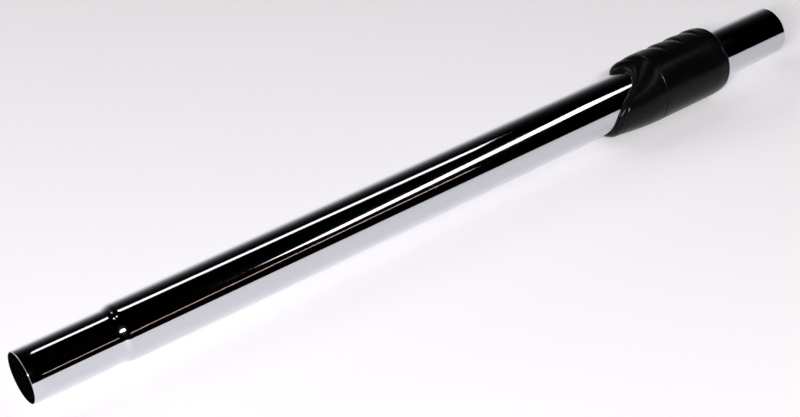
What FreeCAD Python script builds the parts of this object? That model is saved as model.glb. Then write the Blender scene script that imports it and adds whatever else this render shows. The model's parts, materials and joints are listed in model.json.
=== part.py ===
"""Telescopic vacuum wand, collapsed: two chromed steel tubes, a black slide-lock grip and its lock.

The wand is modelled along X with its axis at the origin, nozzle end at x = 0 and handle end at +X.
One placement at the end lays it on its side, where the tube and the grip come to rest on the floor.
"""
import FreeCAD
import Part
import math
import os

V = FreeCAD.Vector
X_AXIS = V(1, 0, 0)
Y_AXIS = V(0, 1, 0)

# Steel tubes
tube_wall = 0.5
outer_radius = 19.0
outer_length = 555.5
spigot_radius = 17.25
spigot_length = 58.0
shoulder_length = 8.5
tube_gap = 0.9
inner_end_gap = 3.0
stub_length = 68.3
socket_bore_radius = 17.5
socket_length = 52.0
socket_flare = 3.0
rim_bevel = 0.15

# Detent pockets pressed into the inner tube, in a row on the lock's side
detent_pitch = 35.0
detent_depth = 1.2
detent_round = 3.1
lock_setback = 20.0
lock_turn = 115.0

# Guide bush in the mouth of the outer tube
running_clearance = 0.08
bush_length = 39.0
bush_flange_width = 1.6
bush_flange_thickness = 2.5

# Glide ring and lip seal on the inner end of the inner tube
glide_length = 20.0
glide_flange = 1.5
glide_slit = 1.5
seal_width = 3.0
seal_seat_depth = 0.42
seal_clearance = 0.04

# Lock bolt with its two ears
bolt_nose_radius = 2.8
bolt_half_width = 5.5
bolt_height = 3.0
bolt_seat_clearance = 0.05
bolt_guide_clearance = 0.08
bolt_lift = 1.35
ear_radius = 1.2
ear_drop = 1.3
ear_clearance = 0.1
ear_end_gap = 0.2

# Slide sleeve that releases the lock when it is pulled towards the handle
sleeve_length = 63.5
sleeve_wall = 2.0
sleeve_bolt_clearance = 0.15
sleeve_tail_length = 10.0
sleeve_tail_drop = 0.6
sleeve_travel = 6.0
sleeve_front_wall = 5.5
skirt_wall = 2.0
skirt_clearance = 0.15

# Cam cheeks moulded inside the sleeve, one at each end of the bolt
cheek_wall = 1.6
cheek_gap = 1.1
cheek_margin = 1.4
cheek_inner_margin = 0.9

# Finger ribs across the top of the sleeve
rib_count = 3
rib_pitch = 17.0
rib_first_valley = 20.0
rib_run = 13.5
rib_rise = 3.5
rib_depth = 1.25
rib_fade = 3.5

# Front collar, fixed on the outer tube
collar_setback = 48.0
seam_step = 0.1
seam_gap = 0.15
seam_bevel = 0.4
lip_middle = 29.9
lip_sweep = 16.5
lip_bend = 11.0
lip_crown = 6.5
lip_crown_power = 12
lip_length = 3.5
lip_top_length = 12.0
lip_bottom_length = 7.0
lip_height = 3.0
lip_top_height = 6.8
lip_bottom_height = 4.6
lip_turns = (-15, 8, 30, 52, 72, 90)
lip_groove_width = 1.8
lip_groove_depth = 0.6
collar_skin = 2.4
hub_clearance = 0.5
hub_tail_thickness = 1.8
pocket_end_gap = 0.4
core_length = 27.0
core_radius = 21.1
core_half_turn = 60.0
core_web = 5.0
section_points = 48

# Rear cap, clipped into the sleeve
cap_length = 3.9
cap_step = 1.1
cap_round = 2.3
cap_wall = 1.6
cap_opening_clearance = 0.6
cap_plug_length = 7.0
cap_plug_wall = 1.6

# Lock housing, clipped round the outer tube, with the cage that guides the bolt
housing_length = 32.0
housing_setback = 4.0
housing_wall = 1.8
housing_flange = 3.0
housing_flange_clearance = 0.15
cage_half_length = 9.6
cage_side = 0.5
cage_top_clearance = 0.5
window_clearance = 0.5

# Return springs between the sleeve's lugs and the housing flange
spring_length = 17.0
spring_wire_radius = 0.3
spring_coil_radius = 1.45
spring_turns = 5
lug_thickness = 4.5
lug_half_width = 3.0
lug_clearance = 0.5
spring_pin_radius = 0.95
spring_pin_length = 2.5

# How far the wand is rolled about its axis as it lies, with its ribs turned away from the front
rest_roll = 40.5

# Tubes
shoulder_end = spigot_length + shoulder_length
outer_bore = outer_radius - tube_wall
inner_radius = outer_bore - tube_gap
inner_bore = inner_radius - tube_wall
inner_start = shoulder_end + inner_end_gap
socket_radius = socket_bore_radius + tube_wall

# Bush, glide ring and detents: the tube draws out until the glide ring nears the bush
bush_bore = inner_radius + running_clearance
bush_start = outer_length - bush_length
bush_flange_radius = outer_radius + bush_flange_width
glide_radius = outer_bore - running_clearance
glide_end = inner_start + glide_length
detent_count = 1 + int((bush_start - glide_end) / detent_pitch)

# Lock
lock_x = outer_length - lock_setback
detent_axis_z = -(inner_radius - detent_depth + detent_round)
bolt_axis_z = -(inner_radius - detent_depth + bolt_seat_clearance + bolt_nose_radius)
ear_z = bolt_axis_z - ear_drop
cheek_start = bolt_half_width + cheek_gap
cheek_slot = ear_radius + ear_clearance
ear_end = cheek_start + cheek_wall - ear_end_gap
cage_half_width = bolt_half_width + cage_side

# Sleeve, sized to clear the bolt and its ears when they are drawn right out
bolt_reach = math.hypot(bolt_axis_z - bolt_height - bolt_lift, bolt_half_width)
ear_reach = math.hypot(ear_z - ear_radius - bolt_lift, ear_end)
sleeve_bore = max(bolt_reach, ear_reach) + sleeve_bolt_clearance
sleeve_radius = sleeve_bore + sleeve_wall
seam_x = outer_length - collar_setback
sleeve_front_x = seam_x + seam_gap
sleeve_end_x = seam_x + sleeve_length
sleeve_tail_x = sleeve_end_x - sleeve_tail_length
sleeve_end_radius = sleeve_radius - sleeve_tail_drop

# Collar
lip_middle_x = seam_x - lip_middle
collar_radius = sleeve_radius - seam_step
pocket_radius = collar_radius - collar_skin
skirt_radius = pocket_radius - skirt_clearance
skirt_bore = skirt_radius - skirt_wall
skirt_front_x = seam_x - sleeve_travel
hub_radius = skirt_bore - hub_clearance
pocket_x = skirt_front_x - pocket_end_gap

# Cap and the end of the inner tube
cap_end_x = sleeve_end_x + cap_length
cap_radius = sleeve_radius - cap_step
cap_bore = sleeve_bore - cap_plug_wall
cap_opening = max(socket_radius, inner_radius) + cap_opening_clearance
wand_length = cap_end_x + stub_length
socket_start = wand_length - socket_length

# Housing and springs
housing_end_x = outer_length - housing_setback
housing_start_x = housing_end_x - housing_length
housing_radius = outer_radius + housing_wall
flange_radius = sleeve_bore - housing_flange_clearance
flange_x = housing_end_x - housing_flange
lug_x = flange_x - spring_length
spring_y = (housing_radius + sleeve_bore) / 2


def edges_of(points):
    """Straight edges through (x, r) points."""
    corners = [V(x, 0, r) for x, r in points]
    return [Part.makeLine(a, b) for a, b in zip(corners, corners[1:])]


def arc_edge(start, middle, end):
    """Round edge through three (x, r) points."""
    return Part.Arc(*[V(x, 0, r) for x, r in (start, middle, end)]).toShape()


def turned(edges, axis_z=0.0):
    """Solid of revolution about the wand's axis, or about one parallel to it at axis_z."""
    face = Part.Face(Part.Wire(Part.__sortEdges__(edges)))
    return face.revolve(V(0, 0, axis_z), X_AXIS, 360)


def ring(x0, x1, r_in, r_out):
    """Plain ring between two radii."""
    return turned(edges_of([(x0, r_in), (x1, r_in), (x1, r_out), (x0, r_out), (x0, r_in)]))


def box(x0, x1, y0, y1, z0, z1):
    """Box between two corners."""
    return Part.makeBox(x1 - x0, y1 - y0, z1 - z0, V(x0, y0, z0))


def cross_rod(x, z, radius, half_length):
    """Round bar that lies across the wand."""
    return Part.makeCylinder(radius, 2 * half_length, V(x, -half_length, z), Y_AXIS)


def shoulder_edges(x0, r0, x1, r1):
    """Two equal arcs that step a tube from one radius to another, level at both ends."""
    length = x1 - x0
    rise = r1 - r0
    radius = (length ** 2 + rise ** 2) / (4 * rise)
    half_turn = math.asin(length / 2 / radius) / 2
    along = radius * math.sin(half_turn)
    up = radius * (1 - math.cos(half_turn))
    middle = ((x0 + x1) / 2, (r0 + r1) / 2)
    return [
        arc_edge((x0, r0), (x0 + along, r0 + up), middle),
        arc_edge(middle, (x1 - along, r1 - up), (x1, r1)),
    ]


def at_lock(shape):
    """The lock is drawn underneath; this turns it round the axis to the side where it sits."""
    return shape.rotated(V(0, 0, 0), X_AXIS, lock_turn)


def bolt_passage(x_clearance, y_clearance):
    """Radial slot around the bolt, as drawn underneath."""
    half_x = bolt_nose_radius + x_clearance
    half_y = bolt_half_width + y_clearance
    return box(lock_x - half_x, lock_x + half_x, -half_y, half_y, -sleeve_radius, -inner_bore / 2)


def outer_tube():
    """Steel tube swaged down to the nozzle spigot, with the lock window near its mouth."""
    edges = edges_of([(0, spigot_radius - rim_bevel), (rim_bevel, spigot_radius),
                      (spigot_length, spigot_radius)])
    edges += shoulder_edges(spigot_length, spigot_radius, shoulder_end, outer_radius)
    edges += edges_of([(shoulder_end, outer_radius), (outer_length, outer_radius),
                       (outer_length, outer_bore), (shoulder_end, outer_bore)])
    edges += shoulder_edges(spigot_length, spigot_radius - tube_wall, shoulder_end, outer_bore)
    edges += edges_of([(spigot_length, spigot_radius - tube_wall), (0, spigot_radius - tube_wall),
                       (0, spigot_radius - rim_bevel)])
    return at_lock(turned(edges).cut(bolt_passage(window_clearance, window_clearance)))


def tube_core(body_radius, end_radius, pocket_round):
    """Solid bounded by one surface of the inner tube, with the row of pressed pockets cut out."""
    flare_start = socket_start - socket_flare
    core = turned(edges_of([(inner_start, 0), (inner_start, body_radius), (flare_start, body_radius),
                            (socket_start, end_radius), (wand_length, end_radius), (wand_length, 0),
                            (inner_start, 0)]))
    pockets = [cross_rod(lock_x - k * detent_pitch, detent_axis_z, pocket_round, outer_radius)
               for k in range(detent_count)]
    return core.cut(pockets)


def inner_tube():
    """Steel tube with the detent row on the lock's side and a sized socket at the handle end."""
    outside = tube_core(inner_radius, socket_radius, detent_round)
    inside = tube_core(inner_bore, socket_bore_radius, detent_round + tube_wall)
    return at_lock(outside.cut(inside))


def guide_bush():
    """Thin bush pressed into the outer tube's mouth, with a flange over the tube's edge."""
    bush = ring(bush_start, outer_length, bush_bore, outer_bore)
    flange = ring(outer_length, outer_length + bush_flange_thickness, bush_bore, bush_flange_radius)
    return at_lock(bush.fuse(flange).removeSplitter().cut(
        bolt_passage(bolt_guide_clearance, bolt_guide_clearance)))


def glide_ring():
    """Split ring over the inner tube's inner end, with a groove for the seal."""
    seat = glide_radius - seal_seat_depth
    middle = inner_start + glide_length / 2
    body = turned(edges_of([
        (inner_start - glide_flange, inner_bore), (inner_start, inner_bore), (inner_start, inner_radius),
        (glide_end, inner_radius), (glide_end, glide_radius), (middle + seal_width / 2, glide_radius),
        (middle + seal_width / 2, seat), (middle - seal_width / 2, seat),
        (middle - seal_width / 2, glide_radius), (inner_start - glide_flange, glide_radius),
        (inner_start - glide_flange, inner_bore)]))
    slit = box(inner_start - glide_flange, middle - seal_width, -glide_slit / 2, glide_slit / 2,
               0, outer_radius)
    return at_lock(body.cut(slit))


def lip_seal():
    """Rubber seal in the glide ring's groove."""
    middle = inner_start + glide_length / 2
    return ring(middle - seal_width / 2, middle + seal_width / 2,
                glide_radius - seal_seat_depth, outer_bore - seal_clearance)


def rim_x(angle):
    """Where the collar's front edge meets the tube; angle 0 is the top.

    Seen from the side the edge sweeps back from the tongue underneath, then has a short nib at the top.
    """
    height = outer_radius * math.cos(angle)
    nib = lip_crown * max(0, math.cos(angle)) ** lip_crown_power
    return lip_middle_x + lip_sweep * math.tanh(height / lip_bend) - nib


def lip_size(angle, side, top, bottom):
    """A size of the lip, which is small at the sides, larger underneath and largest at the top."""
    height = math.cos(angle)
    return side + (top - side) * max(0, height) ** 3 + (bottom - side) * max(0, -height) ** 2


def collar_section(along, up, gap=0.0, sink=0.0, share=0.0, swell=0.0):
    """Closed curve round the collar.

    It lies a part of the lip's length and height off the front edge, or past the lip by a gap and then a
    share of the way to the seam, where it swells to the collar's own radius.
    """
    points = []
    for i in range(section_points):
        angle = 2 * math.pi * i / section_points
        length = lip_size(angle, lip_length, lip_top_length, lip_bottom_length)
        height = lip_size(angle, lip_height, lip_top_height, lip_bottom_height)
        start = rim_x(angle) + along * length + gap
        x = start + share * (seam_x - start)
        radius = outer_radius + up * height - sink
        radius += swell * (collar_radius - radius)
        points.append(V(x, radius * math.sin(angle), radius * math.cos(angle)))
    curve = Part.BSplineCurve()
    steps = [i / section_points for i in range(section_points + 1)]
    curve.interpolate(Points=points, PeriodicFlag=True, Parameters=steps)
    return Part.Wire(curve.toShape())


def collar_body():
    """Outer form of the collar: a rounded lip, a groove behind it and a swelling body up to the seam.

    The shell reaches inside the tube's surface, for the bore to be cut out of it afterwards.
    """
    lip = []
    for turn in lip_turns:
        t = math.radians(turn)
        lip.append(collar_section(1 - math.cos(t), math.sin(t)))
    groove = collar_section(1, 1, lip_groove_width / 2, lip_groove_depth)
    body = [collar_section(1, 1, lip_groove_width, 0, share, math.sin(share * math.pi / 2))
            for share in (0, 0.25, 0.5, 0.75, 1)]
    root_end = collar_section(0, math.sin(math.radians(lip_turns[0])), 0, 0, 1)
    faces = Part.makeLoft(lip).Faces
    faces += Part.makeLoft([lip[-1], groove], False, True).Faces
    faces += Part.makeLoft([groove, body[0]], False, True).Faces
    faces += Part.makeLoft(body).Faces
    faces += Part.makeLoft([lip[0], root_end], False, True).Faces
    faces.append(Part.Face([body[-1], root_end.reversed()]))
    shell = Part.makeShell(faces)
    shell.sewShape()
    solid = Part.Solid(shell)
    if solid.Volume < 0:
        solid.reverse()
    return solid


def edge_bevel(x, radius, side):
    """Ring that bevels the outer edge of a face at x; side is the way the face looks along X."""
    behind = (x - side * 2 * seam_bevel, radius + seam_bevel)
    below = (x + side * seam_bevel, radius - 2 * seam_bevel)
    above = (x + side * seam_bevel, radius + seam_bevel)
    return turned(edges_of([behind, below, above, behind]))


def collar_core():
    """Hollow in front of the pocket, which keeps the thick underside of the collar at an even wall.

    It opens onto the tube, apart from a web of the hub next to the pocket.
    """
    front = pocket_x - core_length
    web_x = pocket_x - core_web
    back = pocket_x + seam_gap
    inside = outer_bore
    section = Part.Face(Part.Wire(edges_of([
        (front, inside), (front, core_radius), (pocket_x, pocket_radius), (back, pocket_radius),
        (back, hub_radius), (web_x, hub_radius), (web_x, inside), (front, inside)])))
    section.rotate(V(0, 0, 0), X_AXIS, 180 - core_half_turn)
    return section.revolve(V(0, 0, 0), X_AXIS, 2 * core_half_turn)


def front_collar():
    """Fixed front collar with a pocket for the sleeve's skirt and a hub that meets the lock housing."""
    tail = ring(pocket_x, housing_start_x, outer_bore, outer_radius + hub_tail_thickness)
    pocket = ring(pocket_x, seam_x + seam_gap, hub_radius, pocket_radius)
    bore = Part.makeCylinder(outer_radius, outer_length, V(0, 0, 0), X_AXIS)
    body = collar_body().fuse(tail).cut(bore)
    return body.cut([pocket, collar_core(), edge_bevel(seam_x, collar_radius, 1)])


def rib_cutter(valley_x):
    """Saw-tooth scallop: a long swell down to the valley, then a steep face towards the nozzle.

    It turns about an axis below the wand's own, so the cut fades out down both sides.
    """
    crest = sleeve_radius + rib_fade
    valley = crest - rib_depth
    clear = crest + rib_depth
    start = (valley_x - rib_run, crest)
    swell = (valley_x - rib_run * 0.4, crest - rib_depth * 0.35)
    floor = (valley_x, valley)
    rise = (valley_x + rib_rise, crest + rib_depth * 0.1)
    edges = [arc_edge(start, swell, floor)]
    edges += edges_of([floor, rise, (rise[0], clear), (start[0], clear), start])
    return turned([e.translated(V(0, 0, -rib_fade)) for e in edges], -rib_fade)


def cam_cheek(side):
    """Cheek inside the sleeve with the sloping slot that draws the bolt out as the sleeve goes back."""
    y0 = cheek_start if side > 0 else -cheek_start - cheek_wall
    back = lock_x + cheek_slot + cheek_margin
    front = lock_x - sleeve_travel - cheek_slot - cheek_margin
    top = ear_z + cheek_slot + cheek_inner_margin
    plate = box(front, back, y0, y0 + cheek_wall, -sleeve_radius, top)
    inside = Part.makeCylinder(sleeve_bore + sleeve_wall / 2, back - front, V(front, 0, 0), X_AXIS)
    plate = plate.common(inside)
    ends = [(lock_x, ear_z), (lock_x - sleeve_travel, ear_z - bolt_lift)]
    slope = math.atan2(ends[0][1] - ends[1][1], ends[0][0] - ends[1][0])
    across = V(-math.sin(slope), 0, math.cos(slope)) * cheek_slot
    corners = [V(x, y0, z) for x, z in ends]
    outline = [corners[0] + across, corners[1] + across, corners[1] - across, corners[0] - across]
    slot = Part.Face(Part.makePolygon(outline + outline[:1])).extrude(V(0, cheek_wall, 0))
    for corner in corners:
        slot = slot.fuse(Part.makeCylinder(cheek_slot, cheek_wall, corner, Y_AXIS))
    return plate.cut(slot)


def spring_pin(x, side, way):
    """Short pin that keeps one end of a return spring in place."""
    return Part.makeCylinder(spring_pin_radius, spring_pin_length, V(x, side * spring_y, 0), X_AXIS * way)


def spring_lug(side):
    """Lug inside the sleeve that the return spring pushes forward."""
    inside = housing_radius + lug_clearance
    y0 = inside if side > 0 else -sleeve_bore - sleeve_wall / 2
    y1 = sleeve_bore + sleeve_wall / 2 if side > 0 else -inside
    lug = box(lug_x - lug_thickness, lug_x, y0, y1, -lug_half_width, lug_half_width)
    return lug.fuse(spring_pin(lug_x, side, 1))


def slide_sleeve():
    """Ribbed sleeve with its front skirt, cam cheeks and spring lugs."""
    tail_middle = ((sleeve_tail_x + sleeve_end_x) / 2, sleeve_radius * 0.75 + sleeve_end_radius * 0.25)
    front_wall_end = sleeve_front_x + sleeve_front_wall
    edges = edges_of([(skirt_front_x, skirt_bore), (skirt_front_x, skirt_radius),
                      (sleeve_front_x, skirt_radius), (sleeve_front_x, sleeve_radius),
                      (sleeve_tail_x, sleeve_radius)])
    edges.append(arc_edge((sleeve_tail_x, sleeve_radius), tail_middle, (sleeve_end_x, sleeve_end_radius)))
    edges += edges_of([(sleeve_end_x, sleeve_end_radius), (sleeve_end_x, sleeve_bore),
                       (front_wall_end, sleeve_bore), (front_wall_end, skirt_bore),
                       (skirt_front_x, skirt_bore)])
    sleeve = turned(edges)
    cuts = [rib_cutter(seam_x + rib_first_valley + k * rib_pitch) for k in range(rib_count)]
    cuts += [edge_bevel(sleeve_front_x, sleeve_radius, -1), edge_bevel(sleeve_end_x, sleeve_end_radius, 1)]
    sleeve = sleeve.cut(cuts)
    return sleeve.fuse([at_lock(s) for s in (cam_cheek(1), cam_cheek(-1), spring_lug(1), spring_lug(-1))])


def end_cap():
    """Rounded rear cap with the opening for the inner tube and a plug that clips into the sleeve."""
    start = sleeve_end_x
    shoulder = cap_end_x - cap_round
    slant = cap_round * (1 - math.sqrt(0.5))
    edges = edges_of([(start - cap_plug_length, cap_bore), (start - cap_plug_length, sleeve_bore),
                      (start, sleeve_bore), (start, cap_radius), (shoulder, cap_radius)])
    edges.append(arc_edge((shoulder, cap_radius), (cap_end_x - slant, cap_radius - slant),
                          (cap_end_x, cap_radius - cap_round)))
    edges += edges_of([(cap_end_x, cap_radius - cap_round), (cap_end_x, cap_opening),
                       (cap_end_x - cap_wall, cap_opening), (cap_end_x - cap_wall, cap_bore),
                       (start - cap_plug_length, cap_bore)])
    return turned(edges).cut(edge_bevel(start, cap_radius, -1))


def lock_housing():
    """Ring round the tube with the bolt's cage on one side and a flange that takes the springs."""
    body = ring(housing_start_x, housing_end_x, outer_radius, housing_radius)
    flange = ring(flange_x, housing_end_x, outer_radius, flange_radius)
    cage = ring(lock_x - cage_half_length, lock_x + cage_half_length, outer_radius,
                sleeve_bore - cage_top_clearance)
    cage = cage.common(box(housing_start_x, housing_end_x, -cage_half_width, cage_half_width,
                           -sleeve_radius, 0))
    body = body.fuse([flange, cage, spring_pin(flange_x, 1, -1), spring_pin(flange_x, -1, -1)])
    cuts = [bolt_passage(bolt_guide_clearance, cage_half_width)]
    for side in (1, -1):
        near = side * cage_half_width
        far = side * (cheek_start + cheek_wall + lug_clearance)
        cuts.append(box(lock_x - cage_half_length - lug_clearance, lock_x + cage_half_length,
                        min(near, far), max(near, far), -sleeve_radius, 0))
    return at_lock(body.cut(cuts))


def lock_bolt():
    """Sintered bolt: rounded nose in the pocket, square back in the cage, an ear at each end."""
    nose = cross_rod(lock_x, bolt_axis_z, bolt_nose_radius, bolt_half_width)
    back = box(lock_x - bolt_nose_radius, lock_x + bolt_nose_radius, -bolt_half_width, bolt_half_width,
               bolt_axis_z - bolt_height, bolt_axis_z)
    ears = cross_rod(lock_x, ear_z, ear_radius, ear_end)
    return at_lock(nose.fuse([back, ears]).removeSplitter())


def return_spring(side):
    """Coil spring with plain ends, seated between the lug and the flange."""
    rise = spring_length - 2 * spring_wire_radius
    pitch = rise / spring_turns
    path = Part.makeHelix(pitch, rise, spring_coil_radius)
    along = V(0, 2 * math.pi * spring_coil_radius, pitch)
    section = Part.Wire(Part.makeCircle(spring_wire_radius, V(spring_coil_radius, 0, 0), along))
    coil = Part.Wire(path.Edges).makePipeShell([section], True, True)
    coil.rotate(V(0, 0, 0), Y_AXIS, 90)
    return at_lock(coil.translated(V(lug_x + spring_wire_radius, side * spring_y, 0)))


def resting_placement():
    """Lays the wand on the tube behind its shoulder and on the sleeve, over the middle of its box."""
    front_x = shoulder_end
    rear_x = sleeve_front_x + seam_bevel
    tilt = math.atan((sleeve_radius - outer_radius) / (rear_x - front_x))
    lift = outer_radius * math.cos(tilt) - front_x * math.sin(tilt)
    low = -spigot_radius * math.sin(tilt)
    high = wand_length * math.cos(tilt) + socket_radius * math.sin(tilt)
    roll = FreeCAD.Rotation(X_AXIS, -rest_roll)
    lean = FreeCAD.Rotation(Y_AXIS, -math.degrees(tilt))
    return FreeCAD.Placement(V(-(low + high) / 2, 0, lift), lean * roll)


def main():
    os.makedirs("parts", exist_ok=True)
    pieces = {
        "outer_tube": outer_tube(),
        "inner_tube": inner_tube(),
        "guide_bush": guide_bush(),
        "glide_ring": glide_ring(),
        "lip_seal": lip_seal(),
        "front_collar": front_collar(),
        "slide_sleeve": slide_sleeve(),
        "end_cap": end_cap(),
        "lock_housing": lock_housing(),
        "lock_bolt": lock_bolt(),
        "return_spring_left": return_spring(1),
        "return_spring_right": return_spring(-1),
    }
    rest = resting_placement()
    for name, shape in pieces.items():
        solid = shape.transformed(rest.toMatrix())
        print(name, "valid", solid.isValid(), "solids", len(solid.Solids), "volume", round(solid.Volume, 2))
        solid.exportStep("parts/%s.step" % name)
    print("axis", tuple(rest.Rotation.multVec(X_AXIS)), "base", tuple(rest.Base))


main()
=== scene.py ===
"""Telescopic vacuum wand, dressed for the picture: chromed tubes and a black slide-lock grip.

Shapes are worked out in millimetres along the wand, with the nozzle rim at x = 0 and the grip's ribs
at +z, and then laid where the fixed frame has the wand.
"""
import bpy
import bmesh
import json
import math
from mathutils import Matrix, Vector


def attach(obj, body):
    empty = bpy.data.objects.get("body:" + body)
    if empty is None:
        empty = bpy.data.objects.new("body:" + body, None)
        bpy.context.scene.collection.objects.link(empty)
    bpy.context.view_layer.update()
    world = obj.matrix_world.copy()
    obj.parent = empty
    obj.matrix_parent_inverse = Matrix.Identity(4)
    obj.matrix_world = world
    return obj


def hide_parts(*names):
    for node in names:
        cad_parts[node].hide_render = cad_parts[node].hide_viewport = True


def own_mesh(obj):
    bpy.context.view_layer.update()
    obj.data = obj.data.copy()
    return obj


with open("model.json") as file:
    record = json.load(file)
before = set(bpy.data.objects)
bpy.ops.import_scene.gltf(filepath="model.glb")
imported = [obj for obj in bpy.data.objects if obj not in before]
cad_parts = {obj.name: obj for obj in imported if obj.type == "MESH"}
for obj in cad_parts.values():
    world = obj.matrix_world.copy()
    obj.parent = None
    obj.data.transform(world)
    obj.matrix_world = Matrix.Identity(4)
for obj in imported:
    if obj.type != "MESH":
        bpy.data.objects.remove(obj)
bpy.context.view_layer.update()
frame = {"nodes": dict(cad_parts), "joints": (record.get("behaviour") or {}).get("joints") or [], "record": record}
nodes = frame["nodes"]
joints = {joint["name"]: joint for joint in frame["joints"]}
mounts = {mount["name"]: mount for mount in frame["record"]["mounts"]}

# Lengths are in millimetres and turns in degrees; a bow, a floor and an overshoot are shares
# Tubes
tube_wall = 0.5
outer_radius = 19.0
outer_length = 555.5
spigot_radius = 17.25
spigot_length = 58.0
shoulder_length = 8.5
rim_bevel = 0.15
rim_bow = 0.3
inner_start = 69.5
inner_radius = 17.6
wand_length = 643.2
socket_radius = 18.0
socket_length = 52.0
socket_flare = 13.0
# Lock: where it sits, the outer tube's window and the inner tube's row of pockets
lock_x = 535.5
lock_turn = 115.0
window_half_length = 3.3
window_half_width = 6.0
window_cut_height = 10.0
pocket_pitch = 35.0
pocket_count = 13
pocket_round = 3.1
pocket_axis_z = -19.5
pocket_reach = 3.6
no_pocket_z = -100.0
# Slide sleeve, its skirt and its seam with the collar
seam_x = 507.5
seam_gap = 0.15
seam_bevel = 0.4
seam_step = 0.1
sleeve_length = 63.5
sleeve_bore = 24.6046
sleeve_wall = 2.0
sleeve_tail_length = 10.0
sleeve_tail_drop = 0.6
sleeve_front_wall = 5.5
sleeve_travel = 6.0
skirt_wall = 2.0
skirt_clearance = 0.15
# Finger ribs
rib_count = 3
rib_pitch = 17.0
rib_first_valley = 20.0
rib_run = 13.5
rib_rise = 3.5
rib_depth = 1.25
rib_fade = 3.5
rib_bow = (0.4, 0.35)
rib_overshoot = 1.1
# Fixed collar: its lip, with sizes at the side, on top and underneath, the groove and the skirt's room
lip_middle = 29.9
lip_sweep = 16.5
lip_bend = 11.0
lip_crown = 6.5
lip_crown_power = 12
lip_lengths = (3.5, 12.0, 7.0)
lip_heights = (3.0, 6.8, 4.6)
lip_top_power = 3
lip_bottom_power = 2
lip_groove_width = 1.8
lip_groove_depth = 0.6
lip_groove_floor = (0.4, 0.6)
collar_skin = 2.4
hub_clearance = 0.5
hub_tail = 1.8
skirt_room_gap = 0.4
housing_start_x = 519.5
# Rear cap
cap_length = 3.9
cap_step = 1.1
cap_round = 2.3
cap_wall = 1.6
cap_opening = 18.6
cap_edge = 0.2
cap_plug_length = 7.0
cap_plug_wall = 1.6
# Sleeve's cam cheeks, and the bolt that they lift by its ears
cheek_start = 6.6
cheek_wall = 1.6
cheek_slot = 1.3
cheek_top = -18.35
cheek_post = 1.4
bar_let_in = 0.2
bar_setback = 0.1
ear_z = -20.55
bolt_lift = 1.35
# Return springs, and the sleeve's lugs that press on them
spring_length = 17.0
spring_wire = 0.3
spring_coil = 1.45
spring_turns = 5
flange_x = 548.5
lug_thickness = 4.5
lug_half_width = 3.0
lug_inside = 21.3

# How finely the meshes are drawn: points round and along, and steps in millimetres
round_steps = 192
quarter_steps = 12
body_rings = 24
rib_ring_start = 1.0
rib_ring_step = 0.75
rib_ring_count = 82
rib_rise_shares = (0.5, 0.91, 1.0)
skin_step = 8.0
plain_step = 9.0
pocket_step = 0.6
bore_step = 20.0
spigot_bore_step = 10.0
coil_steps = 40
wire_steps = 12
merge_gap = 0.001
weld_gap = 0.0005
# Faces that look at the axis by more than this are the inside
inside_limit = -0.3
# How far a hidden part's roughness strays either way
gloss_spread = 0.06

# Sizes that follow from these
sleeve_radius = sleeve_bore + sleeve_wall
sleeve_end_x = seam_x + sleeve_length
collar_radius = sleeve_radius - seam_step
skirt_room_radius = collar_radius - collar_skin
skirt_radius = skirt_room_radius - skirt_clearance
skirt_bore = skirt_radius - skirt_wall
skirt_x = seam_x - sleeve_travel
hub_radius = skirt_bore - hub_clearance
lug_x = flange_x - spring_length
spring_y = (outer_radius + hub_tail + sleeve_bore) / 2

# Where the wand lies: its own axes in the frame, and the nozzle rim's middle
spigot = mounts["nozzle_spigot"]
along = -Vector(spigot["axis"]).normalized()
bolt_out = Vector(joints["bolt_draw"]["axis"]).normalized()
bolt_round = along.cross(bolt_out)
lock_sine, lock_cosine = math.sin(math.radians(lock_turn)), math.cos(math.radians(lock_turn))
sideways = bolt_out * lock_sine + bolt_round * lock_cosine
upward = bolt_round * lock_sine - bolt_out * lock_cosine
rim_middle = Vector(spigot["pos_m"]) - along * (spigot_length / 2 / 1000)
turn = Matrix((along, sideways, upward)).transposed()
lay = Matrix.Translation(rim_middle) @ turn.to_4x4() @ Matrix.Scale(0.001, 4)
# The lock is drawn underneath and turned to the side where it sits
lock_side = Matrix.Rotation(math.radians(lock_turn), 4, "X")


def linear(code):
    """sRGB hex colour as linear RGBA."""
    shares = [int(code[i:i + 2], 16) / 255 for i in (1, 3, 5)]
    return tuple(s / 12.92 if s < 0.04045 else ((s + 0.055) / 1.055) ** 2.4 for s in shares) + (1.0,)


def add(tree, kind, inputs=None, **settings):
    """Adds a node; each input is a value, or an output to link from."""
    node = tree.nodes.new(kind)
    for key, value in settings.items():
        setattr(node, key, value)
    for key, value in (inputs or {}).items():
        if isinstance(value, bpy.types.NodeSocket):
            tree.links.new(value, node.inputs[key])
        else:
            node.inputs[key].default_value = value
    return node


def calc(tree, operation, *values):
    """Adds a calculation and gives its result."""
    return add(tree, "ShaderNodeMath", dict(enumerate(values)), operation=operation).outputs[0]


def in_scene(name, data):
    """New object with this data, linked into the scene."""
    item = bpy.data.objects.new(name, data)
    bpy.context.scene.collection.objects.link(item)
    return item


def grained(tree, where, scale, detail):
    """Even noise, with so many grains to a unit of place."""
    return add(tree, "ShaderNodeTexNoise", {"Vector": where, "Scale": scale, "Detail": detail}).outputs["Fac"]


def streaked(tree, where, scale, detail):
    """Noise drawn out along the wand, with so many marks to a millimetre along x, y and z."""
    drawn = add(tree, "ShaderNodeMapping", {"Vector": where, "Scale": scale})
    return grained(tree, drawn.outputs[0], 1.0, detail)


def tinted(tree, shader, share, dark, light):
    """Colours a surface between two colours."""
    tint = add(tree, "ShaderNodeMix", {0: share, 6: linear(dark), 7: linear(light)}, data_type="RGBA")
    tree.links.new(tint.outputs[2], shader.inputs["Base Color"])


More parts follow.
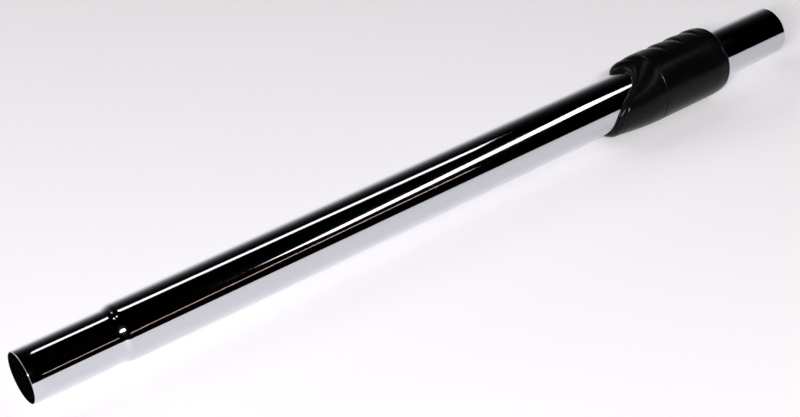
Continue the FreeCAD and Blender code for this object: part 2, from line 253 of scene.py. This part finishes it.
def glossed(tree, shader, value, smooth, rough, least=0.0, most=1.0):
    """Spreads a surface's roughness over a value's range."""
    spread = add(tree, "ShaderNodeMapRange", {"Value": value, "From Min": least, "From Max": most,
                                              "To Min": smooth, "To Max": rough})
    tree.links.new(spread.outputs[0], shader.inputs["Roughness"])


def embossed(tree, shader, height, strength, distance):
    """Raises a surface's grain; the distance is in metres."""
    bump = add(tree, "ShaderNodeBump", {"Height": height, "Strength": strength, "Distance": distance})
    tree.links.new(bump.outputs[0], shader.inputs["Normal"])


def new_material(name):
    """Empty material with a Principled shader, its output and a position in millimetres along the wand."""
    material = bpy.data.materials.new(name)
    material.use_nodes = True
    tree = material.node_tree
    tree.nodes.clear()
    shader = add(tree, "ShaderNodeBsdfPrincipled")
    add(tree, "ShaderNodeOutputMaterial", {"Surface": shader.outputs["BSDF"]})
    back = turn.transposed()
    where = add(tree, "ShaderNodeMapping", {
        "Vector": add(tree, "ShaderNodeTexCoord").outputs["Object"],
        "Location": back @ rim_middle * -1000,
        "Rotation": back.to_euler(),
        "Scale": (1000, 1000, 1000),
    })
    return material, tree, shader, where.outputs["Vector"]


def chrome_plate():
    """Bright chromium plate on drawn steel tube: a mirror, faintly wavy along the draw, with wiped haze."""
    material, tree, shader, where = new_material("chrome_plate_on_drawn_steel")
    shader.inputs["Base Color"].default_value = linear("#CFD1D6")
    shader.inputs["Metallic"].default_value = 1.0
    # Haze left by wiping, 40 mm long and 6 mm across
    haze = streaked(tree, where, (0.025, 0.16, 0.16), 4.0)
    glossed(tree, shader, haze, 0.045, 0.085, 0.3, 0.75)
    # Waves from drawing, about 70 mm long and 9 mm across
    waves = streaked(tree, where, (0.014, 0.11, 0.11), 1.0)
    embossed(tree, shader, waves, 0.25, 0.00006)
    return material


def bare_steel():
    """Drawn steel left bare inside the tubes: dull, dark with drawing soap, streaked along the tube."""
    material, tree, shader, where = new_material("drawn_steel_bare_inside")
    shader.inputs["Metallic"].default_value = 0.7
    streaks = streaked(tree, where, (0.03, 0.6, 0.6), 5.0)
    tinted(tree, shader, streaks, "#141415", "#2C2B2B")
    glossed(tree, shader, streaks, 0.45, 0.65)
    return material


def moulded_black():
    """Black ABS from a spark-eroded mould: satin, with a fine even grain and slight flow marks."""
    material, tree, shader, where = new_material("black_abs_moulded_satin")
    shader.inputs["IOR"].default_value = 1.54
    shader.inputs["Specular IOR Level"].default_value = 0.1
    # Flow marks run with the plastic, some 30 mm long
    marks = streaked(tree, where, (0.035, 0.09, 0.09), 3.0)
    tinted(tree, shader, marks, "#030304", "#070608")
    glossed(tree, shader, marks, 0.23, 0.3, 0.3, 0.7)
    # The real grain is about 0.1 mm; it is drawn at 0.5 mm, or it would not show
    grain = grained(tree, where, 2.0, 2.0)
    embossed(tree, shader, grain, 0.3, 0.00003)
    return material


def small_part(name, dark, light, metallic, roughness, grain_mm):
    """Finish of a hidden working part: mottled at its own grain, a little uneven in gloss."""
    material, tree, shader, where = new_material(name)
    shader.inputs["Metallic"].default_value = metallic
    grain = grained(tree, where, 1 / grain_mm, 3.0)
    tinted(tree, shader, grain, dark, light)
    glossed(tree, shader, grain, roughness - gloss_spread, roughness + gloss_spread)
    embossed(tree, shader, grain, 0.2, 0.00004)
    return material


chrome = chrome_plate()
steel = bare_steel()
abs_black = moulded_black()
# Glass-filled nylon: dull, with fibres just showing
nylon = small_part("grey_nylon_moulded", "#343438", "#46464A", 0.0, 0.55, 0.6)
# Natural acetal: waxy white, slightly cloudy
acetal = small_part("white_acetal_moulded", "#DCDBD6", "#ECEBE7", 0.0, 0.36, 1.5)
# Rubber: matt black with talc in its pores
rubber = small_part("black_rubber_moulded", "#0B0B0B", "#191918", 0.0, 0.7, 0.5)
# Sintered steel: grey, open grain, tumbled edges
sintered = small_part("sintered_steel_tumbled", "#6A6A6C", "#8C8C8E", 1.0, 0.42, 0.4)
# Spring wire: drawn bright, lightly oiled
wire = small_part("spring_steel_wire_drawn", "#8A8A8C", "#B0B0B2", 1.0, 0.28, 0.8)


def turned_tree():
    """Turns a profile about the wand's axis, and presses a row of round-bottomed pockets into its underside.

    The profile is a chain of points at (x, what the pocket grows by there, radius).
    """
    tree = bpy.data.node_groups.new("turned_piece", "GeometryNodeTree")
    face = tree.interface
    face.new_socket("Profile", in_out="INPUT", socket_type="NodeSocketGeometry")
    face.new_socket("Steps round", in_out="INPUT", socket_type="NodeSocketInt")
    for name in ("First pocket", "Pocket pitch", "Last pocket number", "Pocket round", "Pocket axis height"):
        face.new_socket(name, in_out="INPUT", socket_type="NodeSocketFloat")
    face.new_socket("Finish", in_out="INPUT", socket_type="NodeSocketMaterial")
    face.new_socket("Piece", in_out="OUTPUT", socket_type="NodeSocketGeometry")
    given = add(tree, "NodeGroupInput").outputs
    count = add(tree, "GeometryNodeAttributeDomainSize", {0: given["Profile"]}).outputs["Point Count"]
    rows = calc(tree, "ADD", given["Steps round"], 1.0)
    grid = add(tree, "GeometryNodeMeshGrid", {"Vertices X": count, "Vertices Y": rows})
    index = add(tree, "GeometryNodeInputIndex").outputs[0]
    column = add(tree, "FunctionNodeIntegerMath", {0: index, 1: rows}, operation="DIVIDE_FLOOR").outputs[0]
    row = add(tree, "FunctionNodeIntegerMath", {0: index, 1: rows}, operation="MODULO").outputs[0]
    sample = add(tree, "GeometryNodeSampleIndex", {
        0: given["Profile"], 1: add(tree, "GeometryNodeInputPosition").outputs[0], "Index": column,
    }, data_type="FLOAT_VECTOR")
    point = add(tree, "ShaderNodeSeparateXYZ", {0: sample.outputs[0]}).outputs
    share = calc(tree, "DIVIDE", row, given["Steps round"])
    angle = calc(tree, "MULTIPLY", share, math.tau)
    y = calc(tree, "MULTIPLY", point["Z"], calc(tree, "SINE", angle))
    z = calc(tree, "MULTIPLY", point["Z"], calc(tree, "COSINE", angle))
    # Nearest pocket of the row, and how far from its middle the point lies
    back = calc(tree, "SUBTRACT", given["First pocket"], point["X"])
    number = calc(tree, "ROUND", calc(tree, "DIVIDE", back, given["Pocket pitch"]))
    number = add(tree, "ShaderNodeClamp", {0: number, 1: 0.0, 2: given["Last pocket number"]}).outputs[0]
    off = calc(tree, "SUBTRACT", back, calc(tree, "MULTIPLY", number, given["Pocket pitch"]))
    # The pocket's round floor, which no point there lies below
    reach = calc(tree, "ADD", given["Pocket round"], point["Y"])
    rise = calc(tree, "SUBTRACT", calc(tree, "MULTIPLY", reach, reach), calc(tree, "MULTIPLY", off, off))
    rise = calc(tree, "SQRT", calc(tree, "MAXIMUM", rise, 0.0))
    floor = calc(tree, "ADD", rise, given["Pocket axis height"])
    z = calc(tree, "MAXIMUM", z, floor)
    place = add(tree, "ShaderNodeCombineXYZ", {0: point["X"], 1: y, 2: z}).outputs[0]
    shape = add(tree, "GeometryNodeSetPosition", {"Geometry": grid.outputs[0], "Position": place}).outputs[0]
    shape = add(tree, "GeometryNodeMergeByDistance", {"Geometry": shape, "Distance": merge_gap}).outputs[0]
    shape = add(tree, "GeometryNodeRealizeInstances", {"Geometry": shape}).outputs[0]
    shape = add(tree, "GeometryNodeSetMaterial", {"Geometry": shape, "Material": given["Finish"]}).outputs[0]
    add(tree, "NodeGroupOutput", {0: shape})
    return tree


def coil_tree():
    """Coil of round wire with plain ends, standing along z."""
    tree = bpy.data.node_groups.new("coil_spring", "GeometryNodeTree")
    face = tree.interface
    for name in ("Turns", "Coil radius", "Height", "Wire radius"):
        face.new_socket(name, in_out="INPUT", socket_type="NodeSocketFloat")
    face.new_socket("Finish", in_out="INPUT", socket_type="NodeSocketMaterial")
    face.new_socket("Piece", in_out="OUTPUT", socket_type="NodeSocketGeometry")
    given = add(tree, "NodeGroupInput").outputs
    path = add(tree, "GeometryNodeCurveSpiral", {
        "Resolution": coil_steps, "Rotations": given["Turns"], "Start Radius": given["Coil radius"],
        "End Radius": given["Coil radius"], "Height": given["Height"],
    }).outputs[0]
    section = add(tree, "GeometryNodeCurvePrimitiveCircle", {
        "Resolution": wire_steps, "Radius": given["Wire radius"],
    }).outputs[0]
    shape = add(tree, "GeometryNodeCurveToMesh", {
        "Curve": path, "Profile Curve": section, "Fill Caps": True,
    }).outputs[0]
    shape = add(tree, "GeometryNodeRealizeInstances", {"Geometry": shape}).outputs[0]
    shape = add(tree, "GeometryNodeSetMaterial", {"Geometry": shape, "Material": given["Finish"]}).outputs[0]
    add(tree, "NodeGroupOutput", {0: shape})
    return tree


def keep_shape(piece, modifier):
    """Makes what a modifier does to a piece its plain mesh."""
    made = bpy.data.meshes.new_from_object(piece.evaluated_get(bpy.context.evaluated_depsgraph_get()))
    piece.modifiers.remove(modifier)
    piece.data = made


def from_tree(name, tree, mesh, values):
    """Object whose mesh a tree has made, as a plain mesh."""
    piece = in_scene(name, mesh)
    maker = piece.modifiers.new("maker", "NODES")
    maker.node_group = tree
    for item in tree.interface.items_tree:
        if item.name in values:
            maker[item.identifier] = values[item.name]
    keep_shape(piece, maker)
    return piece


def settle(piece, place, sharp=30):
    """Closes a mesh, turns its faces outwards, keeps its edges crisp and lays it in the frame."""
    mesh = piece.data
    work = bmesh.new()
    work.from_mesh(mesh)
    bmesh.ops.remove_doubles(work, verts=work.verts, dist=weld_gap)
    bmesh.ops.recalc_face_normals(work, faces=work.faces)
    work.to_mesh(mesh)
    work.free()
    mesh.polygons.foreach_set("use_smooth", [True] * len(mesh.polygons))
    mesh.set_sharp_from_angle(angle=math.radians(sharp))
    mesh.transform(place)
    mesh.update()
    return piece


def hand_over(piece, body, slot, *names):
    """Makes a piece ride on its body in place of the plain solids it stands for."""
    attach(piece, body)
    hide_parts(*names)


def turned_piece(name, profile, finish, pockets=False):
    """Piece turned from (x, radius) points, or (x, radius, pocket growth) for a tube with pockets."""
    mesh = bpy.data.meshes.new(name)
    points = [(p[0], p[2] if len(p) > 2 else 0.0, p[1]) for p in profile]
    mesh.from_pydata(points, [(i, i + 1) for i in range(len(points) - 1)], [])
    values = {
        "Steps round": round_steps, "First pocket": lock_x, "Pocket pitch": pocket_pitch,
        "Last pocket number": float(pocket_count - 1), "Pocket round": pocket_round if pockets else 0.0,
        "Pocket axis height": pocket_axis_z if pockets else no_pocket_z, "Finish": finish,
    }
    return from_tree(name, turning, mesh, values)


def line_inside(piece, finish):
    """Gives the faces that look at the axis their own finish."""
    mesh = piece.data
    mesh.materials.append(finish)
    for face in mesh.polygons:
        off = face.center - rim_middle
        off -= along * off.dot(along)
        if off.normalized().dot(face.normal) < inside_limit:
            face.material_index = 1


def shoulder(x0, r0, x1, r1, steps=14):
    """Points of the S-shaped step between two radii: two equal arcs, level at both ends."""
    length, rise = x1 - x0, r1 - r0
    radius = (length ** 2 + rise ** 2) / (4 * rise)
    points = []
    for i in range(1, steps):
        x = length * i / steps
        near = min(x, length - x)
        up = radius - math.sqrt(radius ** 2 - near ** 2)
        points.append((x0 + x, r0 + up if x <= length / 2 else r1 - up))
    return points


def spaced(x0, x1, step):
    """Places along a straight run, close enough together for a smooth mirror."""
    count = max(1, round(abs(x1 - x0) / step))
    return [x0 + (x1 - x0) * i / count for i in range(count + 1)]


turning = turned_tree()
coiling = coil_tree()


def outer_tube():
    """Chromed tube swaged to the nozzle spigot, with the bolt's window under the grip."""
    inside = outer_radius - tube_wall
    spigot_inside = spigot_radius - tube_wall
    end = spigot_length + shoulder_length
    profile = [(0, spigot_radius - rim_bevel), (rim_bevel * rim_bow, spigot_radius - rim_bevel * rim_bow)]
    profile += [(x, spigot_radius) for x in spaced(rim_bevel, spigot_length, skin_step)]
    profile += shoulder(spigot_length, spigot_radius, end, outer_radius)
    profile += [(x, outer_radius) for x in spaced(end, outer_length, skin_step)]
    profile += [(x, inside) for x in spaced(outer_length, end, bore_step)]
    profile += reversed(shoulder(spigot_length, spigot_inside, end, inside))
    profile += [(x, spigot_inside) for x in spaced(spigot_length, 0, spigot_bore_step)]
    profile.append(profile[0])
    piece = turned_piece("outer_tube_chromed", profile, chrome)
    window = in_scene("window_cutter", bpy.data.meshes.new("window_cutter"))
    work = bmesh.new()
    size = Matrix.Diagonal((2 * window_half_length, 2 * window_half_width, window_cut_height, 1))
    middle = lock_side @ Matrix.Translation((lock_x, 0, -outer_radius))
    bmesh.ops.create_cube(work, size=1, matrix=middle @ size)
    work.to_mesh(window.data)
    work.free()
    # The cut needs a closed mesh
    settle(piece, Matrix.Identity(4))
    cut = piece.modifiers.new("window", "BOOLEAN")
    cut.object = window
    cut.operation = "DIFFERENCE"
    cut.solver = "EXACT"
    keep_shape(piece, cut)
    bpy.data.objects.remove(window)
    settle(piece, lay)
    line_inside(piece, steel)
    hand_over(piece, "outer", "chromed_steel", "outer_tube")


def inner_tube():
    """Chromed tube that draws out, with its row of pressed pockets and the socket at the handle end."""
    bore = inner_radius - tube_wall
    socket_bore = socket_radius - tube_wall
    socket_start = wand_length - socket_length
    # The flare is drawn longer than the solid's, because the photograph shows no step there
    flare = socket_start - socket_flare
    runs = []
    x = inner_start
    for k in reversed(range(pocket_count)):
        middle = lock_x - k * pocket_pitch
        runs += spaced(x, middle - pocket_reach, plain_step)
        runs += spaced(middle - pocket_reach, middle + pocket_reach, pocket_step)
        x = middle + pocket_reach
    runs += spaced(x, flare, plain_step)
    places = sorted(set(round(x, 4) for x in runs))
    profile = [(x, inner_radius, 0.0) for x in places]
    profile += [(x, socket_radius, 0.0) for x in spaced(socket_start, wand_length - rim_bevel, skin_step)]
    profile += [(wand_length, socket_radius - rim_bevel, 0.0), (wand_length, socket_bore + rim_bevel, 0.0)]
    profile += [(x, socket_bore, tube_wall) for x in spaced(wand_length - rim_bevel, socket_start, skin_step)]
    profile += [(x, bore, tube_wall) for x in reversed(places)]
    profile.append(profile[0])
    piece = turned_piece("inner_tube_chromed", profile, chrome, pockets=True)
    settle(piece, lay @ lock_side)
    line_inside(piece, steel)
    hand_over(piece, "inner", "chromed_steel", "inner_tube")


def ring_skin(name, rings, finish):
    """Closed skin over rings of points, where the last ring joins the first."""
    count = len(rings[0])
    points = [p for ring in rings for p in ring]
    faces = []
    for i in range(len(rings)):
        j = (i + 1) % len(rings)
        for k in range(count):
            m = (k + 1) % count
            faces.append((i * count + k, i * count + m, j * count + m, j * count + k))
    mesh = bpy.data.meshes.new(name)
    mesh.from_pydata(points, [], faces)
    mesh.materials.append(finish)
    return in_scene(name, mesh)


angles = [math.tau * i / round_steps for i in range(round_steps)]
quarter_turn = [math.pi / 2 * i / quarter_steps for i in range(quarter_steps + 1)]


def round_ring(x, radius):
    """Plain ring of points about the axis."""
    return [(x, radius * math.sin(a), radius * math.cos(a)) for a in angles]


def rim_x(angle):
    """Where the collar's front edge meets the tube: a tongue underneath, a scoop and a short nib on top."""
    height = outer_radius * math.cos(angle)
    nib = lip_crown * max(0, math.cos(angle)) ** lip_crown_power
    return seam_x - lip_middle + lip_sweep * math.tanh(height / lip_bend) - nib


def lip_size(angle, sizes):
    """A size of the lip, small at the sides, larger underneath and largest on top."""
    side, top, bottom = sizes
    height = math.cos(angle)
    return (side + (top - side) * max(0, height) ** lip_top_power
            + (bottom - side) * max(0, -height) ** lip_bottom_power)


def collar_ring(part, up, gap=0.0, sink=0.0, share=0.0, swell=0.0):
    """Ring on the lip, or behind it on the body that swells up to the seam."""
    ring = []
    for a in angles:
        start = rim_x(a) + part * lip_size(a, lip_lengths) + gap
        x = start + share * (seam_x - seam_bevel - start)
        radius = outer_radius + up * lip_size(a, lip_heights) - sink
        radius += swell * (collar_radius - radius)
        ring.append((x, radius * math.sin(a), radius * math.cos(a)))
    return ring


def front_collar():
    """Fixed black collar: rounded lip with a scooped edge, a groove behind it, and room for the skirt."""
    rings = [collar_ring(1 - math.cos(t), math.sin(t)) for t in quarter_turn]
    rings += [collar_ring(1, 1, lip_groove_width * share, lip_groove_depth) for share in lip_groove_floor]
    for i in range(body_rings + 1):
        share = i / body_rings
        rings.append(collar_ring(1, 1, lip_groove_width, 0, share, math.sin(share * math.pi / 2)))
    skirt_room_x = skirt_x - skirt_room_gap
    tail_radius = outer_radius + hub_tail
    for x, radius in ((seam_x, collar_radius - seam_bevel), (seam_x, skirt_room_radius),
                      (skirt_room_x, skirt_room_radius), (skirt_room_x, hub_radius),
                      (seam_x, hub_radius), (seam_x, tail_radius),
                      (housing_start_x, tail_radius), (housing_start_x, outer_radius)):
        rings.append(round_ring(x, radius))
    piece = ring_skin("front_collar_moulded", rings, abs_black)
    hand_over(settle(piece, lay, sharp=28), "outer", "black_plastic", "front_collar")


def rib_line(x):
    """Radius, about the ribs' own lower axis, that the finger ribs leave at x."""
    crest = sleeve_radius + rib_fade
    line = crest
    for k in range(rib_count):
        valley = seam_x + rib_first_valley + k * rib_pitch
        if valley - rib_run < x <= valley:
            # Arc through the crest, a point low on the swell and the valley
            p, q, r = (-rib_run, 0.0), (-rib_run * rib_bow[0], -rib_depth * rib_bow[1]), (0.0, -rib_depth)
            d = 2 * (p[0] * (q[1] - r[1]) + q[0] * (r[1] - p[1]) + r[0] * (p[1] - q[1]))
            squares = [u * u + v * v for u, v in (p, q, r)]
            mid_x = (squares[0] * (q[1] - r[1]) + squares[1] * (r[1] - p[1])
                     + squares[2] * (p[1] - q[1])) / d
            mid_r = (squares[0] * (r[0] - q[0]) + squares[1] * (p[0] - r[0])
                     + squares[2] * (q[0] - p[0])) / d
            bow = math.hypot(p[0] - mid_x, p[1] - mid_r)
            line = min(line, crest + mid_r + math.sqrt(bow ** 2 - (x - valley - mid_x) ** 2))
        elif valley < x < valley + rib_rise:
            line = min(line, crest - rib_depth + rib_depth * rib_overshoot * (x - valley) / rib_rise)
    return line


def sleeve_skin(x):
    """Radius of the sleeve before its ribs: straight, then drawn in towards the cap."""
    tail = max(0, x - (sleeve_end_x - sleeve_tail_length)) / sleeve_tail_length
    return sleeve_radius - sleeve_tail_drop * tail ** 2


def rib_ring(x):
    """Ring of the sleeve's outside, with the ribs fading out down both sides."""
    line = rib_line(x)
    skin = sleeve_skin(x)
    ring = []
    for a in angles:
        cut = math.sqrt(line ** 2 - (rib_fade * math.sin(a)) ** 2) - rib_fade * math.cos(a)
        radius = min(skin, cut) if math.cos(a) > 0 else skin
        ring.append((x, radius * math.sin(a), radius * math.cos(a)))
    return ring


def block(work, x0, x1, y0, y1, z0, z1):
    """Box between two corners, on the lock's side."""
    size = Matrix.Diagonal((x1 - x0, y1 - y0, z1 - z0, 1))
    middle = Matrix.Translation(((x0 + x1) / 2, (y0 + y1) / 2, (z0 + z1) / 2))
    bmesh.ops.create_cube(work, size=1, matrix=lock_side @ middle @ size)


def slide_sleeve():
    """Ribbed black sleeve with its front skirt, cam cheeks and spring lugs."""
    front = seam_x + seam_gap
    wall_end = front + sleeve_front_wall
    keys = [front + seam_bevel, sleeve_end_x - seam_bevel]
    for k in range(rib_count):
        valley = seam_x + rib_first_valley + k * rib_pitch
        keys += [valley - rib_run, valley]
        keys += [valley + rib_rise * share for share in rib_rise_shares]
    keys += [front + rib_ring_start + i * rib_ring_step for i in range(rib_ring_count)]
    keys = sorted(k for k in set(keys) if keys[0] <= k <= keys[1])
    rings = [round_ring(front, sleeve_radius - seam_bevel)] + [rib_ring(x) for x in keys]
    rings.append(round_ring(sleeve_end_x, sleeve_skin(sleeve_end_x) - seam_bevel))
    for x, radius in ((sleeve_end_x, sleeve_bore), (wall_end, sleeve_bore), (wall_end, skirt_bore),
                      (skirt_x, skirt_bore), (skirt_x, skirt_radius), (front, skirt_radius)):
        rings.append(round_ring(x, radius))
    piece = settle(ring_skin("slide_sleeve_moulded", rings, abs_black), Matrix.Identity(4), sharp=24)
    work = bmesh.new()
    work.from_mesh(piece.data)
    root = sleeve_bore + sleeve_wall / 2
    for side in (1, -1):
        y0, y1 = sorted((side * lug_inside, side * root))
        block(work, lug_x - lug_thickness, lug_x, y0, y1, -lug_half_width, lug_half_width)
        y0, y1 = sorted((side * cheek_start, side * (cheek_start + cheek_wall)))
        # Each cheek is two posts and two bars, let into them, round the slot for the bolt's ear
        bottom = -math.sqrt(root ** 2 - max(abs(y0), abs(y1)) ** 2)
        slot_start, slot_end = lock_x - sleeve_travel - cheek_slot, lock_x + cheek_slot
        low, high = ear_z - bolt_lift - cheek_slot, ear_z + cheek_slot
        block(work, slot_start - cheek_post, slot_start, y0, y1, bottom, cheek_top)
        block(work, slot_end, slot_end + cheek_post, y0, y1, bottom, cheek_top)
        bar = (slot_start - bar_let_in, slot_end + bar_let_in, y0 + bar_setback, y1 - bar_setback)
        block(work, *bar, high, cheek_top - bar_setback)
        block(work, *bar, bottom + bar_setback, low)
    work.to_mesh(piece.data)
    work.free()
    piece.data.transform(lay)
    hand_over(piece, "sleeve", "black_plastic", "slide_sleeve")


def end_cap():
    """Rounded rear cap, clipped into the sleeve."""
    start, end = sleeve_end_x, sleeve_end_x + cap_length
    radius = sleeve_radius - cap_step
    bore = sleeve_bore - cap_plug_wall
    profile = [(start - cap_plug_length, bore), (start - cap_plug_length, sleeve_bore), (start, sleeve_bore),
               (start, radius - seam_bevel), (start + seam_bevel, radius)]
    middle = (end - cap_round, radius - cap_round)
    for t in quarter_turn:
        profile.append((middle[0] + cap_round * math.sin(t), middle[1] + cap_round * math.cos(t)))
    profile += [(end, cap_opening + cap_edge), (end - cap_edge, cap_opening), (end - cap_wall, cap_opening),
                (end - cap_wall, bore), (start - cap_plug_length, bore)]
    piece = turned_piece("end_cap_moulded", profile, abs_black)
    hand_over(settle(piece, lay), "sleeve", "black_plastic", "end_cap")


def return_spring(name, side):
    """Coil spring between the sleeve's lug and the housing's flange, which it is pressed against."""
    height = spring_length - 2 * spring_wire
    values = {"Turns": float(spring_turns), "Coil radius": spring_coil, "Height": height,
              "Wire radius": spring_wire, "Finish": wire}
    piece = from_tree(name + "_wound", coiling, bpy.data.meshes.new(name), values)
    foot = Matrix.Translation((lug_x + spring_wire, side * spring_y, 0))
    stand = foot @ Matrix.Rotation(math.pi / 2, 4, "Y")
    settle(piece, lay @ lock_side @ stand, sharp=60)
    hand_over(piece, "outer", "spring_steel", name)
    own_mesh(piece)


outer_tube()
inner_tube()
front_collar()
slide_sleeve()
end_cap()
return_spring("return_spring_left", 1)
return_spring("return_spring_right", -1)
for name, finish in (("guide_bush", acetal), ("glide_ring", acetal), ("lip_seal", rubber),
                     ("lock_housing", nylon), ("lock_bolt", sintered)):
    nodes[name].data.materials.clear()
    nodes[name].data.materials.append(finish)

# Pale table top, slightly violet, that carries the wand's shadow and reaches 4 m each way
table_reach = 4
table = bpy.data.materials.new("pale_laminate_table")
table.use_nodes = True
top = table.node_tree
surface = top.nodes["Principled BSDF"]
cloud = grained(top, add(top, "ShaderNodeTexCoord").outputs["Object"], 3.0, 2.0)
tinted(top, surface, cloud, "#F3F1F6", "#F6F5F8")
surface.inputs["Roughness"].default_value = 0.55
surface.inputs["Specular IOR Level"].default_value = 0.2
sheet = bpy.data.meshes.new("table_top")
sheet.from_pydata([(table_reach * x, table_reach * y, 0) for x, y in ((-1, -1), (1, -1), (1, 1), (-1, 1))],
                  [], [(0, 1, 2, 3)])
sheet.materials.append(table)
ground = in_scene("table_top", sheet)

# The room: dark overhead and behind the camera, a pale wall low down on the far side.
# The camera itself sees an even backdrop.
wall_level = 0.85
wall_edge = 0.35
wall_fade = 4.5
backdrop_level = 0.9
room = bpy.data.worlds.new("room")
bpy.context.scene.world = room
room.use_nodes = True
sky = room.node_tree
way = add(sky, "ShaderNodeSeparateXYZ", {0: add(sky, "ShaderNodeTexCoord").outputs["Generated"]}).outputs
low = calc(sky, "POWER", calc(sky, "SUBTRACT", 1.0, way["Z"]), wall_fade)
far = add(sky, "ShaderNodeMapRange", {"Value": way["Y"], "From Max": wall_edge, "To Max": wall_level})
wall = calc(sky, "MULTIPLY", low, far.outputs[0])
seen = add(sky, "ShaderNodeLightPath").outputs["Is Camera Ray"]
level = add(sky, "ShaderNodeMix", {0: seen, 2: wall, 3: backdrop_level}).outputs[0]
backdrop = sky.nodes["Background"]
backdrop.inputs["Color"].default_value = linear("#F4F2F7")
sky.links.new(level, backdrop.inputs["Strength"])


def lamp(name, place, target, size, watts, colour, run=(1, 0, 0)):
    """Soft rectangular lamp, whose long side runs along the wand or the way given."""
    light = bpy.data.lights.new(name, "AREA")
    light.shape = "RECTANGLE"
    light.size, light.size_y = size
    light.energy = watts
    light.color = linear(colour)[:3]
    holder = in_scene(name, light)
    look = (Vector(target) - Vector(place)).normalized()
    across = Vector(run).normalized()
    across = (across - look * look.dot(across)).normalized()
    up = (-look).cross(across)
    holder.matrix_world = Matrix.Translation(place) @ Matrix((across, up, -look)).transposed().to_4x4()


# The key shines the way the camera looks and hides most of the shadow; a weak fill evens out the table.
# Both stand past the nozzle end, where the tubes can't mirror them.
lamp("key_softbox", (-1.7, -1.76, 1.56), (0, 0, 0), (1.6, 0.14), 120, "#FFFDFC")
lamp("fill_softbox", (-1.2, 1.5, 1.3), (0, 0, 0), (0.9, 0.9), 13, "#FFFDFC")
# Two strips overhead and a thin warm one draw the long lines on the tubes
lamp("far_strip", (0.255, 0.386, 0.892), (0.255, 0, 0), (0.72, 0.15), 0.62, "#FFFFFF", (0.97, -0.242, 0))
lamp("near_strip", (0.665, -0.56, 0.975), (0.665, -0.56, 0), (0.88, 0.2), 1.7, "#FFFFFF", (0.476, 0.88, 0))
lamp("warm_line", (0.225, -0.85, 0.433), (0, 0, 0), (0.7, 0.01), 0.07, "#FFDCCB", (0.676, 0, 0.337))
# Two small ones sparkle on the shoulder
lamp("flash", (-0.5, -0.68, 0.66), (-0.2, 0, 0), (0.024, 0.024), 0.11, "#F4F6FF")
lamp("ceiling_spot", (-0.5, 0.17, 0.975), (-0.26, 0, 0), (0.05, 0.05), 0.08, "#FFFFFF")

# Camera where the photograph was taken from: place in millimetres in the wand's own axes, turns in radians
camera_place = Vector((-224.27, -920.9, 0.0))
pan, roll, tip = -0.499359, -0.436089, 0.004
focal_pixels, picture_pixels = 1557, 800
sensor_mm = 36
view = Matrix.Rotation(roll, 3, "Z") @ Matrix.Rotation(tip, 3, "X") @ Matrix.Rotation(pan, 3, "Y")
right, down, forward = (turn @ Vector((row[0], row[2], -row[1])) for row in view)
camera = in_scene("camera", bpy.data.cameras.new("camera"))
camera.data.sensor_width = sensor_mm
camera.data.lens = sensor_mm * focal_pixels / picture_pixels
camera.matrix_world = (Matrix.Translation(lay @ camera_place)
                       @ Matrix((right, -down, -forward)).transposed().to_4x4())
bpy.context.scene.camera = camera
bpy.context.scene.view_settings.view_transform = "Standard"
